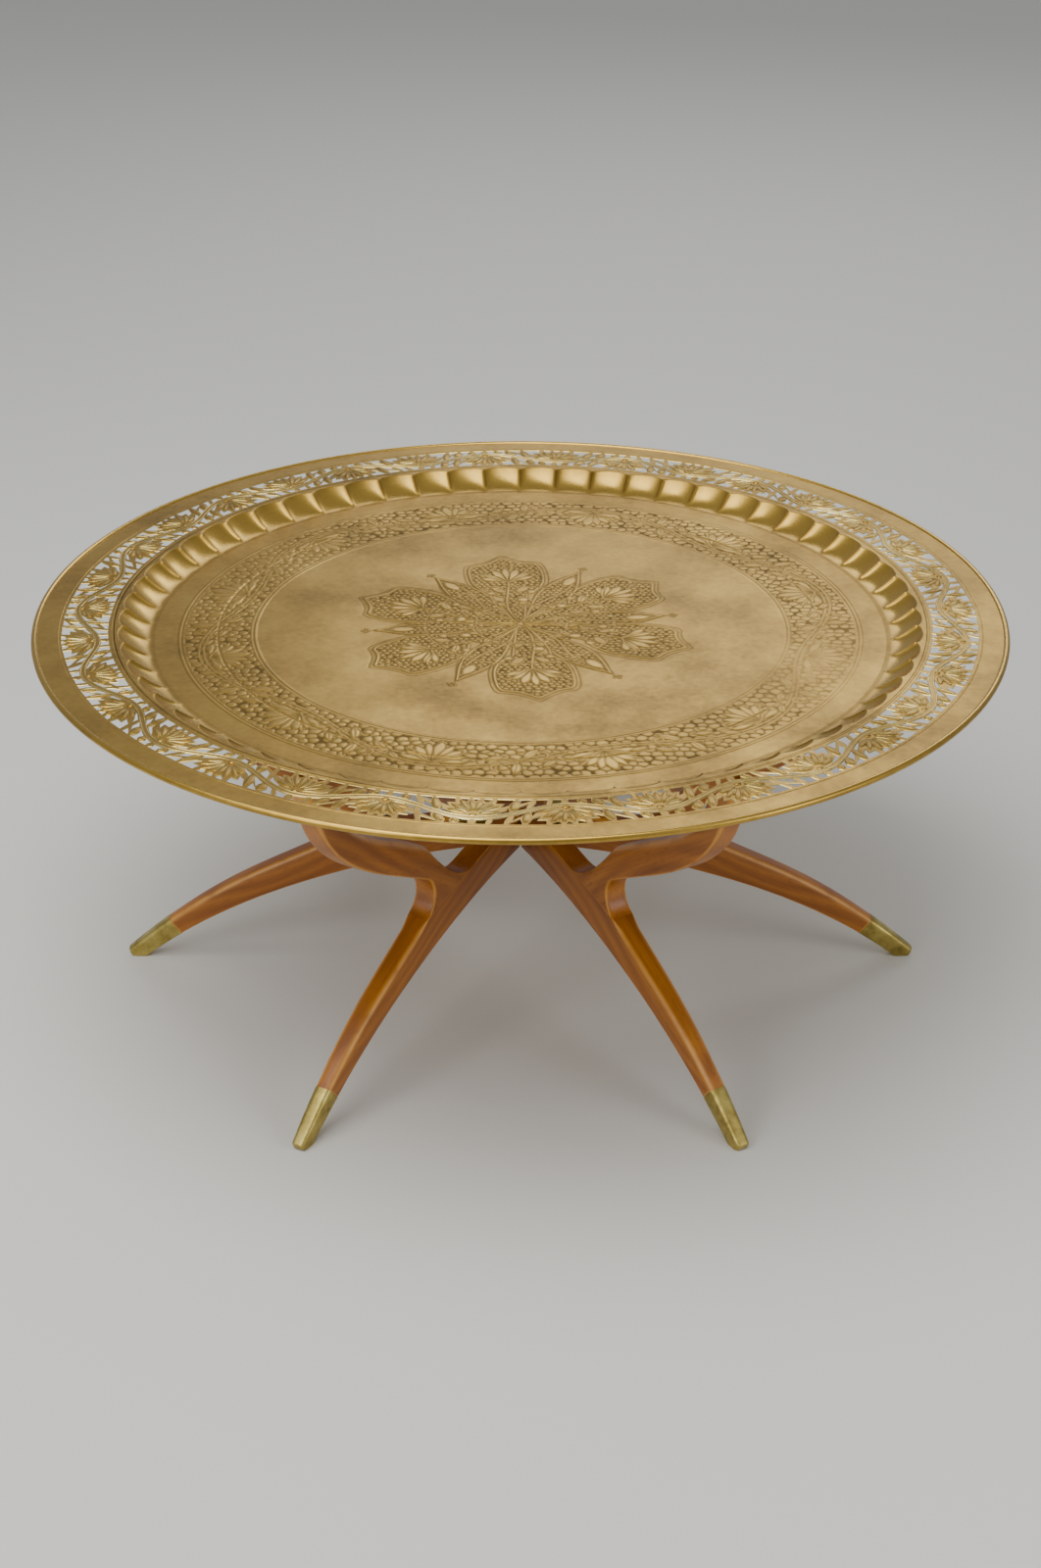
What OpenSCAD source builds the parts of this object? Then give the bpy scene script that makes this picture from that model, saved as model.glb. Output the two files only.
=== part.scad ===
// Brass tray table: a round pierced brass tray that lifts off a six-armed folding hardwood stand.
// The stand's middle frame is rigid and lies along X. Four wings are hinged to its two faces, close
// beside the middle, and fold flat against it. Every arm has the same outline: a top rail, a curved
// bracket and a lower rail that sweeps down into a brass-shod leg.
// The origin is on the floor under the middle of the stand, +Z is up.

/* [Tray] */
// Diameter over the rolled edge
tray_d = 1016; // [900:1:1220]
// Diameter of the flat middle that lies on the rails
tray_flat_d = 772; // [640:1:800]
// Diameter at the top of the scalloped slope
tray_slope_d = 840; // [810:1:850]
// Height of the border above the flat middle
tray_rise = 18; // [12:0.5:26]
// Thickness of the brass sheet
sheet = 1.2; // [1:0.1:2]
// Radius of the wire inside the rolled edge
rim_wire_r = 2.2; // [1.5:0.1:3.5]
// Inner diameter of the pierced band
band_in_d = 857; // [855:1:865]
// Outer diameter of the pierced band
band_out_d = 955; // [930:1:960]
// Number of flowers round the pierced band, alternately pointing out and in
flowers = 34; // [30:2:38]
// Width of the metal left between two openings
vine_w = 5; // [3:0.5:8]
// Gap between the rails and the tray
tray_gap = 0.3; // [0.1:0.1:1]

/* [Stand] */
// Height from the floor to the top of the rails
stand_h = 404; // [360:1:500]
// Reach of the top rails from the middle
arm_reach = 420; // [380:1:510]
// Reach of the feet from the middle
foot_reach = 440; // [400:1:530]
// Thickness of the boards
board = 25.4; // [22:0.1:31]
// Angle between two neighbouring arms with the stand open
open_angle = 60; // [50:1:65]

/* [Top rail] */
// Depth of the top rails
rail_h = 38; // [32:0.5:46]
// How far the rail's end slants back towards its underside
rail_slant = 17; // [10:1:24]
// Rounding of the rail's end in plan
rail_tip_r = 8; // [4:0.5:11]

/* [Bracket] */
// Width of the bracket where it meets the top rail
bracket_top_w = 32; // [26:1:40]
// Distance from the middle to the bracket's knee
knee_x = 204; // [195:1:215]
// Height of the bracket's knee
knee_z = 236.6; // [228:0.1:245]
// Distance from the middle to the bracket's toe on the lower rail
toe_x = 118; // [110:1:130]
// Drop of the lower rail's top from the middle to the bracket's toe
toe_drop = 15.8; // [10:0.1:20]

/* [Lower rail and leg] */
// Height of the lower rail's underside at the middle
arch_rise = 148.6; // [120:0.1:180]
// Depth of the lower rail at the middle
hub_h = 39.7; // [34:0.1:48]
// Distance from the middle to the round notch between bracket and leg
notch_x = 219.5; // [215:0.5:226]
// Height of the centre of the notch
notch_z = 176; // [172:0.5:182]
// Radius of the notch
notch_r = 26.3; // [22:0.1:28]
// Width of the flat sole on the floor
sole_w = 16; // [10:1:20]
// Distance from the middle where the leg starts to taper in plan
taper_x = 230; // [200:1:300]
// Thickness of the foot at its tip
foot_t = 14; // [10:1:20]
// Length of the brass ferrule along the leg
ferrule_len = 57; // [40:1:70]
// Wall of the brass ferrule
ferrule_wall = 1.3; // [1:0.1:2]

/* [Hinges] */
// Distance from the middle to the hinge pins, along the middle frame
hinge_x = 27.33; // [24:0.01:36]
// Distance from the pin to the face of either board
hinge_gap = 1; // [0.8:0.1:2]
// Height of a hinge leaf
leaf_h = 25.4; // [20:0.1:32]
// Length of a hinge leaf, from the pin
leaf_len = 41.7; // [34:0.1:52]
// Thickness of a hinge leaf
leaf_t = 1.5; // [1.2:0.1:2]
// Radius of the knuckles
knuckle_r = 2.6; // [2.3:0.1:3.4]
// Radius of the hinge pins
pin_r = 1.25; // [1:0.05:1.5]
// Radial play of the turning knuckle on the pin
pin_play = 0.05; // [0.02:0.01:0.1]
// Height of the middle of the upper hinges above the rail's underside
upper_hinge_up = 19; // [16:0.5:20]
// Height of the middle of the lower hinges above the lower rail's underside
lower_hinge_up = 18.9; // [16:0.1:22]

/* [Screws] */
// Radius of a screw head
screw_head_r = 3.1; // [2.4:0.1:3.6]
// Radius of a screw's shank
screw_shank_r = 1.5; // [1:0.1:1.8]
// Length of a screw below the leaf's face
screw_len = 11; // [8:0.5:12]

/* [Hidden] */
$fn = 96;
clearance = 0.4;          // between a wing's end and the middle frame
knuckle_gap = 0.3;        // between two knuckles of one hinge
middle_gap = 1;           // half the gap between the ends of two wings
corner_x = 8;             // where the wing's end starts to slope away from the frame's face
corner_y = 8.1;           // how far the wing's end slopes away at the middle
head_h = 0.6;             // how far a screw head stands proud
slot_w = 0.8;             // slot of a screw head
column_x = 6;             // outer screw column, from the leaf's end
column_z = 7.2;           // outer screws above and below the middle of the leaf
inner_x = 21;             // inner screw, from the leaf's end
far = 2 * foot_reach;     // longer than anything in the stand

rail_z = stand_h - rail_h;
hub_top = arch_rise + hub_h;
toe = [toe_x, hub_top - toe_drop];
knee = [knee_x, knee_z];
notch = [notch_x, notch_z];
notch_start = 116;        // where the notch meets the bracket's outer edge, round its centre
notch_end = 242;          // where it meets the leg
bracket_out = [arm_reach - rail_slant, rail_z];
bracket_in = bracket_out - [bracket_top_w, 0];
sole_out = [foot_reach - 4, 0];
sole_in = sole_out - [sole_w, 0];
foot_top = [foot_reach, 8];

leg_angle = -39.6;        // slope of the leg inside the ferrule
leg_tip = (sole_in + foot_top) / 2;
leg_dir = [cos(leg_angle), sin(leg_angle)];
leg_up = [-sin(leg_angle), cos(leg_angle)];

wing_dir = [cos(open_angle), sin(open_angle)];
wing_side = [-sin(open_angle), cos(open_angle)];
pin = [hinge_x, board / 2 + hinge_gap];
wing_in = pin * wing_side + hinge_gap;    // the wing's inner face, in the wing's own coordinates
pin_along = pin * wing_dir;
upper_hinge_z = rail_z + upper_hinge_up;
lower_hinge_z = arch_rise + lower_hinge_up;
knuckle_h = leaf_h / 3;
seat_r = knuckle_r + clearance;

honey = "#C07A2C";
brown = "#9A5824";
brass = "#A98F45";
dull_brass = "#8F8435";

// name, side in X, side in Y
WINGS = [["fl", -1, -1], ["fr", 1, -1], ["bl", -1, 1], ["br", 1, 1]];
SIDES = [["left", -1], ["right", 1]];
WING_PARTS = ["top_rail", "bracket", "leg", "ferrule", "upper_leaf", "lower_leaf", "screws"];

// ---------------------------------------------------------------- outlines

// A point at the fractions h of the box from p to q
function within(p, q, h) = [p[0] + h[0] * (q[0] - p[0]), p[1] + h[1] * (q[1] - p[1])];

// A smooth curve from p to q, with its two handles at the fractions h1 and h2 of the box between them
function curve(p, q, h1, h2, n = 14) =
    let (a = within(p, q, h1), b = within(p, q, h2))
    [for (i = [0:n]) let (t = i / n)
        pow(1 - t, 3) * p + 3 * pow(1 - t, 2) * t * a + 3 * (1 - t) * t * t * b + pow(t, 3) * q];

// A closed outline without the points that two of its stretches share
function distinct(list) = [for (i = [0:len(list) - 1])
    if (norm(list[i] - list[(i + 1) % len(list)]) > 0.001) list[i]];

function backwards(list) = [for (i = [len(list) - 1:-1:0]) list[i]];

rail_line = [[0, rail_z], bracket_out, [arm_reach, stand_h], [0, stand_h]];
lower_rail_top = curve([0, hub_top], toe, [0.3, 0], [0.68, 0.46], 8);
notch_arc = [for (i = [0:12]) let (a = notch_start + i * (notch_end - notch_start) / 12)
    notch + notch_r * [cos(a), sin(a)]];
leg_top = curve(notch_arc[12], foot_top, [0.32, 0.27], [0.555, 0.354]);
leg_bottom = curve([0, arch_rise], sole_in, [0.305, 0.048], [0.735, 0.367], 18);
bracket_outer = curve(bracket_out, notch_arc[0], [0.15, 0.532], [0.621, 0.727]);
bracket_inner = curve(bracket_in, knee, [0.175, 0.505], [0.59, 0.64], 10);
bracket_toe = curve(knee, toe, [0.395, 0.571], [0.63, 1.08], 8);

// One arm's lower rail and leg, from the middle to the foot
leg_line = distinct(concat(lower_rail_top, leg_top, [sole_out], backwards(leg_bottom)));
bracket_line = distinct(concat(bracket_outer, notch_arc, backwards(bracket_toe), backwards(bracket_inner)));

// An outline in the XZ plane made into a slab that runs from y0 to y1
module slab(points, y0, y1)
    translate([0, y1, 0]) rotate([90, 0, 0]) linear_extrude(y1 - y0) polygon(points);

// ---------------------------------------------------------------- one arm, along +X

// Plan of a top rail, with a rounded end
module rail_plan(y0, y1, reach) {
    translate([0, y0]) square([reach - rail_tip_r, y1 - y0]);
    translate([0, y0 + rail_tip_r]) square([reach, y1 - y0 - 2 * rail_tip_r]);
    for (y = [y0 + rail_tip_r, y1 - rail_tip_r]) translate([reach - rail_tip_r, y]) circle(rail_tip_r);
}

module rail(y0, y1)
    intersection() {
        slab(rail_line, y0, y1);
        linear_extrude(stand_h) rail_plan(y0, y1, arm_reach);
    }

module bracket(y0, y1) slab(bracket_line, y0, y1);

// Half the thickness that the leg loses on each face towards the foot
leg_taper = curve([taper_x, 0], [foot_reach, (board - foot_t) / 2], [0.45, 0.1], [0.85, 0.55], 6);

// The leg with its taper, made larger by grow on both faces
module leg_plan(y0, y1, grow = 0)
    polygon(concat([[0, y0 - grow]], [for (p = leg_taper) [p[0], y0 + p[1] - grow]],
        [[foot_reach + 2, y0 + (board - foot_t) / 2 - grow], [foot_reach + 2, y1 - (board - foot_t) / 2 + grow]],
        backwards([for (p = leg_taper) [p[0], y1 - p[1] + grow]]), [[0, y1 + grow]]));

module leg_shape(y0, y1)
    intersection() {
        slab(leg_line, y0, y1);
        linear_extrude(hub_top + 1) leg_plan(y0, y1);
    }

// Everything beyond a cut square to the leg, d before its tip
module beyond_cut(d, y0, y1)
    translate([leg_tip[0], 0, leg_tip[1]] - d * [leg_dir[0], 0, leg_dir[1]])
        rotate([0, -leg_angle, 0]) translate([0, y0 - 1, -60]) cube([d + 60, y1 - y0 + 2, 120]);

// The wood inside the ferrule: the leg moved in by the ferrule's wall from every side
module tenon(y0, y1)
    intersection() {
        for (s = [-1, 1]) slab([for (p = leg_line) p + s * ferrule_wall * leg_up], y0, y1);
        linear_extrude(hub_top) leg_plan(y0, y1, -ferrule_wall);
        difference() {
            beyond_cut(ferrule_len, y0, y1);
            beyond_cut(12, y0 - 1, y1 + 1);
        }
    }

module wooden_leg(y0, y1) {
    difference() {
        leg_shape(y0, y1);
        beyond_cut(ferrule_len, y0, y1);
    }
    tenon(y0, y1);
}

module ferrule(y0, y1)
    difference() {
        intersection() {
            leg_shape(y0, y1);
            beyond_cut(ferrule_len, y0, y1);
        }
        tenon(y0, y1);
    }

// ---------------------------------------------------------------- hinges

// A leaf lies in the plane y = 0 with its outside face up to +Y, and its pin along Z at [0, out].
// Its knuckles fill the levels named.
module leaf(out, levels, bore_r)
    difference() {
        union() {
            difference() {
                translate([0, -leaf_t, -leaf_h / 2]) cube([leaf_len, leaf_t, leaf_h]);
                for (k = [-1:1]) if (len(search(k, levels)) == 0)
                    translate([0, out, (k - 0.5) * knuckle_h - knuckle_gap / 2])
                        cylinder(h = knuckle_h + knuckle_gap, r = seat_r);
            }
            for (k = levels) {
                low = (k - 0.5) * knuckle_h + (k == -1 ? 0 : knuckle_gap / 2);
                high = (k + 0.5) * knuckle_h - (k == 1 ? 0 : knuckle_gap / 2);
                translate([0, out, low]) cylinder(h = high - low, r = knuckle_r);
            }
        }
        translate([0, out, -leaf_h]) cylinder(h = 2 * leaf_h, r = bore_r);
        leaf_screws();
    }

module leaf_screws()
    for (p = [[leaf_len - column_x, column_z], [leaf_len - column_x, -column_z], [leaf_len - inner_x, 0]])
        translate([p[0], 0, p[1]]) rotate([-90, 0, 0]) screw();

// A countersunk screw with its face towards +Z of its own axis and its shank below
module screw() {
    difference() {
        cylinder(h = head_h, r1 = screw_head_r, r2 = screw_head_r - 0.7);
        translate([-screw_head_r, -slot_w / 2, 0.1]) cube([2 * screw_head_r, slot_w, head_h]);
    }
    translate([0, 0, -leaf_t]) cylinder(h = leaf_t, r1 = screw_shank_r, r2 = screw_head_r);
    translate([0, 0, -screw_len]) cylinder(h = screw_len - leaf_t, r = screw_shank_r);
}

// Places a leaf on the frame's face towards +Y, for the wing in the corner of +X and +Y
module on_frame(z) translate([hinge_x, board / 2, z]) children();

// Places a leaf on the wing's inner face, in the wing's own coordinates
module on_wing(z) translate([pin_along, wing_in, z]) mirror([0, 1, 0]) children();

// The room that a leaf, its knuckles and its screws take out of the wood
module leaf_room() {
    translate([0, -leaf_t, -leaf_h / 2]) cube([leaf_len, 2 * leaf_t, leaf_h]);
    translate([0, hinge_gap, -leaf_h / 2 - clearance]) cylinder(h = leaf_h + 2 * clearance, r = seat_r);
    leaf_screws();
}

// ---------------------------------------------------------------- middle frame

module at_corner(w) mirror([w[1] < 0 ? 1 : 0, 0, 0]) mirror([0, w[2] < 0 ? 1 : 0, 0]) children();
module at_side(s) mirror([s[1] < 0 ? 1 : 0, 0, 0]) children();

module frame_rooms(z) for (w = WINGS) at_corner(w) on_frame(z) leaf_room();

module centre_top_rail()
    color(honey) difference() {
        for (s = SIDES) at_side(s) rail(-board / 2, board / 2);
        frame_rooms(upper_hinge_z);
    }

module centre_arch()
    color(brown) difference() {
        for (s = SIDES) at_side(s) wooden_leg(-board / 2, board / 2);
        frame_rooms(lower_hinge_z);
    }

module centre_bracket(s) color(brown) at_side(s) bracket(-board / 2, board / 2);
module centre_ferrule(s) color(dull_brass) at_side(s) ferrule(-board / 2, board / 2);
module frame_leaf(w, z) color(dull_brass) at_corner(w) on_frame(z) leaf(hinge_gap, [-1, 1], pin_r);

module hinge_pin(w, z)
    color(brass) at_corner(w) translate([pin[0], pin[1], z - leaf_h / 2]) cylinder(h = leaf_h, r = pin_r);

module frame_screws()
    color(brass) for (w = WINGS, z = [upper_hinge_z, lower_hinge_z]) at_corner(w) on_frame(z) leaf_screws();

// ---------------------------------------------------------------- wings

// Plan of the wing's end, which keeps clear of the frame's face and of the next wing
module wing_keep()
    linear_extrude(2 * stand_h) polygon([[corner_x, board / 2 + clearance], [middle_gap, board / 2 + corner_y],
        [middle_gap, far], [far, far], [far, board / 2 + clearance]]);

// Turns a part from the wing's own coordinates into its place
module in_wing(w) at_corner(w) rotate([0, 0, open_angle]) children();

module wing_end() rotate([0, 0, -open_angle]) wing_keep();

module wing_top_rail(w)
    color(honey) in_wing(w) difference() {
        intersection() {
            rail(wing_in, wing_in + board);
            wing_end();
        }
        on_wing(upper_hinge_z) leaf_room();
    }

module wing_leg(w)
    color(brown) in_wing(w) difference() {
        intersection() {
            wooden_leg(wing_in, wing_in + board);
            wing_end();
        }
        on_wing(lower_hinge_z) leaf_room();
    }

module wing_bracket(w) color(brown) in_wing(w) bracket(wing_in, wing_in + board);
module wing_ferrule(w) color(dull_brass) in_wing(w) ferrule(wing_in, wing_in + board);
module wing_leaf(w, z) color(dull_brass) in_wing(w) on_wing(z) leaf(hinge_gap, [0], pin_r + pin_play);

module wing_screws(w)
    color(brass) in_wing(w) for (z = [upper_hinge_z, lower_hinge_z]) on_wing(z) leaf_screws();

// ---------------------------------------------------------------- tray

roll_r = rim_wire_r + sheet;
roll_centre = [tray_d / 2 - roll_r, tray_rise + sheet / 2 - 1];
slope_angle = atan2(tray_rise, (tray_slope_d - tray_flat_d) / 2);
bend = sheet * tan(slope_angle / 2);

// Section of the sheet from the middle to the roll
sheet_line = [[0, 0], [tray_flat_d / 2, 0], [tray_slope_d / 2, tray_rise], [roll_centre[0], tray_rise],
    [roll_centre[0], tray_rise + sheet], [tray_slope_d / 2 - bend, tray_rise + sheet],
    [tray_flat_d / 2 - bend, sheet], [0, sheet]];

// One opening of the pierced band, on one side of a flower that points out (+1) or in (-1).
// It lies between the band's edge, the flower's side and the winding vine.
band_mid = (band_in_d + band_out_d) / 4;
band_half = (band_out_d - band_in_d) / 4;
cell = 360 / flowers;
function polar(r, a) = r * [cos(a), sin(a)];
function vine(a, way) = band_mid - way * 0.5 * band_half * cos(180 * a / cell);
function opening(way, side) =
    let (edge = band_mid + way * (band_half - vine_w / 2), half = vine_w / 2)
    concat(
        [for (f = [0.34, 0.55, 0.78]) polar(edge, side * f * cell)],
        [for (f = [0.78, 0.62, 0.46, 0.3, 0.16]) polar(vine(f * cell, way) + way * half, side * f * cell)]);

module tray()
    color(brass) translate([0, 0, stand_h + tray_gap]) difference() {
        rotate_extrude() difference() {
            union() {
                polygon(sheet_line);
                translate(roll_centre) circle(roll_r, $fn = 48);
            }
            translate(roll_centre) circle(rim_wire_r, $fn = 48);
        }
        translate([0, 0, tray_rise - 1]) linear_extrude(sheet + 2)
            for (i = [0:flowers - 1], side = [-1, 1])
                rotate(i * cell) polygon(opening(i % 2 == 0 ? 1 : -1, side));
    }

module tray_rim_wire()
    color(dull_brass) translate([0, 0, stand_h + tray_gap])
        rotate_extrude() translate(roll_centre) circle(rim_wire_r, $fn = 48);

// ---------------------------------------------------------------- assembly

centre_top_rail();
centre_arch();
for (s = SIDES) {
    centre_bracket(s);
    centre_ferrule(s);
}
for (w = WINGS) {
    frame_leaf(w, upper_hinge_z);
    frame_leaf(w, lower_hinge_z);
    hinge_pin(w, upper_hinge_z);
    hinge_pin(w, lower_hinge_z);
}
frame_screws();
for (w = WINGS) {
    wing_top_rail(w);
    wing_bracket(w);
    wing_leg(w);
    wing_ferrule(w);
    wing_leaf(w, upper_hinge_z);
    wing_leaf(w, lower_hinge_z);
    wing_screws(w);
}
tray();
tray_rim_wire();
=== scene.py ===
"""Brass tray table: a pierced, chased brass tray on a six-armed folding stand of lacquered hardwood."""

import math
import random

import bmesh
import bpy
import numpy as np
from mathutils import Matrix, Vector
from mathutils.kdtree import KDTree


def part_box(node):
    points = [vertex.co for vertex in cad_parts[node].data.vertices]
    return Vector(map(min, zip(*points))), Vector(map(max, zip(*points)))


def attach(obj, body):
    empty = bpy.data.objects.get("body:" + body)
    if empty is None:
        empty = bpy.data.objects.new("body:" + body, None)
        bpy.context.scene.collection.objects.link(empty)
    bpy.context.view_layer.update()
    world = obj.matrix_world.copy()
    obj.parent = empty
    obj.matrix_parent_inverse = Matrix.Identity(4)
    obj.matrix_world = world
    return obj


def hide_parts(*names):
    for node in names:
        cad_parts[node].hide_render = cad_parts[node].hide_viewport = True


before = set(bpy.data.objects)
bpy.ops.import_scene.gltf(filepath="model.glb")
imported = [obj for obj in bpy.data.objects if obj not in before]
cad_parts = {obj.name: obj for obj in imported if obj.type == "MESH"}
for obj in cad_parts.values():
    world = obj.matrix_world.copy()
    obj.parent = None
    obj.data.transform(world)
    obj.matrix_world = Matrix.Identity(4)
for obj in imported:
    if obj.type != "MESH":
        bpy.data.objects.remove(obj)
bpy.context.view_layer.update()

MM = 0.001
WINGS = {"fl": (-1, -1), "fr": (1, -1), "bl": (-1, 1), "br": (1, 1)}
SIDES = {"left": -1, "right": 1}

# ------------------------------------------------------------------ sizes, in millimetres

BOARD = 25.4
HALF = BOARD / 2
OPEN_ANGLE = math.radians(60)
RAIL_TOP = round(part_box("centre_top_rail")[1][2] / MM, 3)
RAIL_BOTTOM = RAIL_TOP - 38
ARM_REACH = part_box("centre_top_rail")[1][0] / MM
RAIL_SLANT = 17
RAIL_TIP = 8
FERRULE = 57
LEG_ANGLE = math.radians(-39.6)
LEG_DIR = np.array([math.cos(LEG_ANGLE), math.sin(LEG_ANGLE)])
LEG_TIP = np.array([430.0, 4.0])
CUT_POINT = LEG_TIP - FERRULE * LEG_DIR
# the lean of the fibres in the legs' and the brackets' boards
LEG_BOARD = math.radians(-24)
BRACKET_BOARD = math.radians(36)

# a hinge pin's place along and across the middle frame, and a leaf's length, thickness and height
PIN = (27.33, 13.7)
LEAF = (41.7, 1.5, 25.4)
KNUCKLE_SEAT = 3.0
KNUCKLE_ROOM = 0.8
LEAF_ROOM = 0.25
LEAF_SUNK = 0.02
LEAF_SEAT_HALF = 12.9
UPPER_HINGE = RAIL_BOTTOM + 19
LOWER_HINGE = 167.5

SHEET = 1.2
TRAY_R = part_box("tray")[1][0] / MM
FLAT_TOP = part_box("tray")[0][2] / MM + SHEET
RISE = 18
BORDER_TOP = FLAT_TOP + RISE
FLAT_R = 386
SLOPE_IN = 383
SLOPE_OUT = 424
BAND_IN = 428.5
BAND_OUT = 477.5
BORDER_IN = 423.2
BORDER_OUT = 502.5
ROLL_R = 3.4
FLUTES = 60
FLOWERS = 34

# ------------------------------------------------------------------ materials


def linear(hex_colour):
    """An sRGB hex colour as linear RGBA."""
    parts = [int(hex_colour[i:i + 2], 16) / 255 for i in (1, 3, 5)]
    return [c / 12.92 if c <= 0.04045 else ((c + 0.055) / 1.055) ** 2.4 for c in parts] + [1.0]


def put(tree, kind, inputs=None, stops=None, **settings):
    """Adds a node with its settings. An input is a number, a hex colour or another node's socket."""
    node = tree.nodes.new("ShaderNode" + kind)
    for name, value in settings.items():
        setattr(node, name, value)
    for name, value in (inputs or {}).items():
        if isinstance(value, bpy.types.NodeSocket):
            tree.links.new(value, node.inputs[name])
        elif isinstance(value, str):
            node.inputs[name].default_value = linear(value)
        else:
            node.inputs[name].default_value = value
    for i, (place, colour) in enumerate(stops or []):
        ramp = node.color_ramp
        stop = ramp.elements[i] if i < 2 else ramp.elements.new(place)
        stop.position = place
        stop.color = linear(colour) if isinstance(colour, str) else (colour, colour, colour, 1)
    return node


def surface(name):
    """A new material with its tree, its shader and its output."""
    material = bpy.data.materials.new(name)
    material.use_nodes = True
    tree = material.node_tree
    tree.nodes.clear()
    shader = put(tree, "BsdfPrincipled")
    put(tree, "OutputMaterial", {"Surface": shader.outputs["BSDF"]})
    return material, tree, shader


def lacquered_wood(name, deep, middle, light, worn_and_lit_colour):
    """Sawn hardwood under clear lacquer: long fibres, growth rings and pores below a satin gloss."""
    material, tree, shader = surface(name)
    grain = put(tree, "Attribute", attribute_name="grain").outputs["Vector"]
    wear_and_lit_top = put(tree, "Attribute", attribute_name="wear_and_lit_top").outputs["Fac"]
    # noise drawn out along the fibres, with its scale along them and across them
    patterns = {}
    for pattern, scale, settings in (
            # slow drift of the growth rings, over about 100 mm
            ("drift", (3, 9, 9), {"Detail": 1.0}),
            # fibres 0.5 mm wide and 60 mm long, drawn wider than real so that they show
            ("fibres", (10, 380, 380), {"Detail": 3.0, "Roughness": 0.6}),
            # streaks 3 mm wide and 300 mm long
            ("streaks", (3, 85, 85), {"Detail": 3.0, "Distortion": 0.25}),
            # darker heartwood in clouds about 150 mm long
            ("hearts", (6, 22, 22), {"Detail": 2.0}),
            # pores: dark dashes 0.6 mm wide and 8 mm long
            ("pores", (70, 760, 760), {"Detail": 1.0})):
        place = put(tree, "Mapping", {"Vector": grain, "Scale": scale})
        noise = put(tree, "TexNoise", {"Vector": place.outputs[0], "Scale": 1.0, **settings})
        patterns[pattern] = noise.outputs
    drift = put(tree, "VectorMath", {0: patterns["drift"]["Color"], 1: (0.3, 2.4, 4.0)}, operation="MULTIPLY")
    place = put(tree, "Mapping", {"Vector": grain, "Scale": (0.5, 20, 44)})
    rings_at = put(tree, "VectorMath", {0: place.outputs[0], 1: drift.outputs[0]}, operation="ADD")
    # growth rings 8 to 20 mm apart, soft on one side
    rings = put(tree, "TexWave", {"Vector": rings_at.outputs[0], "Scale": 0.42, "Distortion": 0.8,
                                  "Detail": 2.0, "Detail Scale": 1.6},
                bands_direction="Z", wave_profile="SIN")
    tone = rings.outputs["Fac"]
    for share, pattern in ((0.66, "streaks"), (0.34, "hearts"), (0.3, "fibres")):
        tone = put(tree, "Mix", {"Factor": share, "A": tone, "B": patterns[pattern]["Fac"]}).outputs["Result"]
    colour = put(tree, "ValToRGB", {"Fac": tone}, stops=[(0.28, deep), (0.74, light), (0.5, middle)])
    pore_mask = put(tree, "ValToRGB", {"Fac": patterns["pores"]["Fac"]}, stops=[(0.62, 0.0), (0.72, 0.55)])
    colour = put(tree, "Mix", {"Factor": pore_mask.outputs["Color"], "A": colour.outputs["Color"], "B": deep},
                 data_type="RGBA")
    # lacquer rubbed thin on the arrises and tips, and on the rails' upward faces a lighter colour that is
    # partly bleaching and partly painted top light
    patches = put(tree, "TexNoise", {"Vector": grain, "Scale": 34.0, "Detail": 3.0})
    patchy = put(tree, "MapRange", {"Value": patches.outputs["Fac"], "From Min": 0.2, "From Max": 0.52})
    worn_and_lit_mask = put(tree, "Math", {0: wear_and_lit_top, 1: patchy.outputs[0]}, operation="MULTIPLY")
    worn_and_lit_mask = put(tree, "Math", {0: worn_and_lit_mask.outputs[0], 1: 0.75}, operation="MULTIPLY")
    colour = put(tree, "Mix", {"Factor": worn_and_lit_mask.outputs[0], "A": colour.outputs["Result"], "B": worn_and_lit_colour},
                 data_type="RGBA")
    tree.links.new(colour.outputs["Result"], shader.inputs["Base Color"])
    gloss = put(tree, "MapRange", {"Value": patterns["streaks"]["Fac"], "To Min": 0.34, "To Max": 0.5})
    tree.links.new(gloss.outputs[0], shader.inputs["Roughness"])
    shader.inputs["Coat Weight"].default_value = 0.12
    shader.inputs["Coat Roughness"].default_value = 0.2
    bump = put(tree, "Bump", {"Height": patterns["fibres"]["Fac"], "Strength": 0.16, "Distance": 0.0004})
    tree.links.new(bump.outputs["Normal"], shader.inputs["Normal"])
    return material


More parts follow.
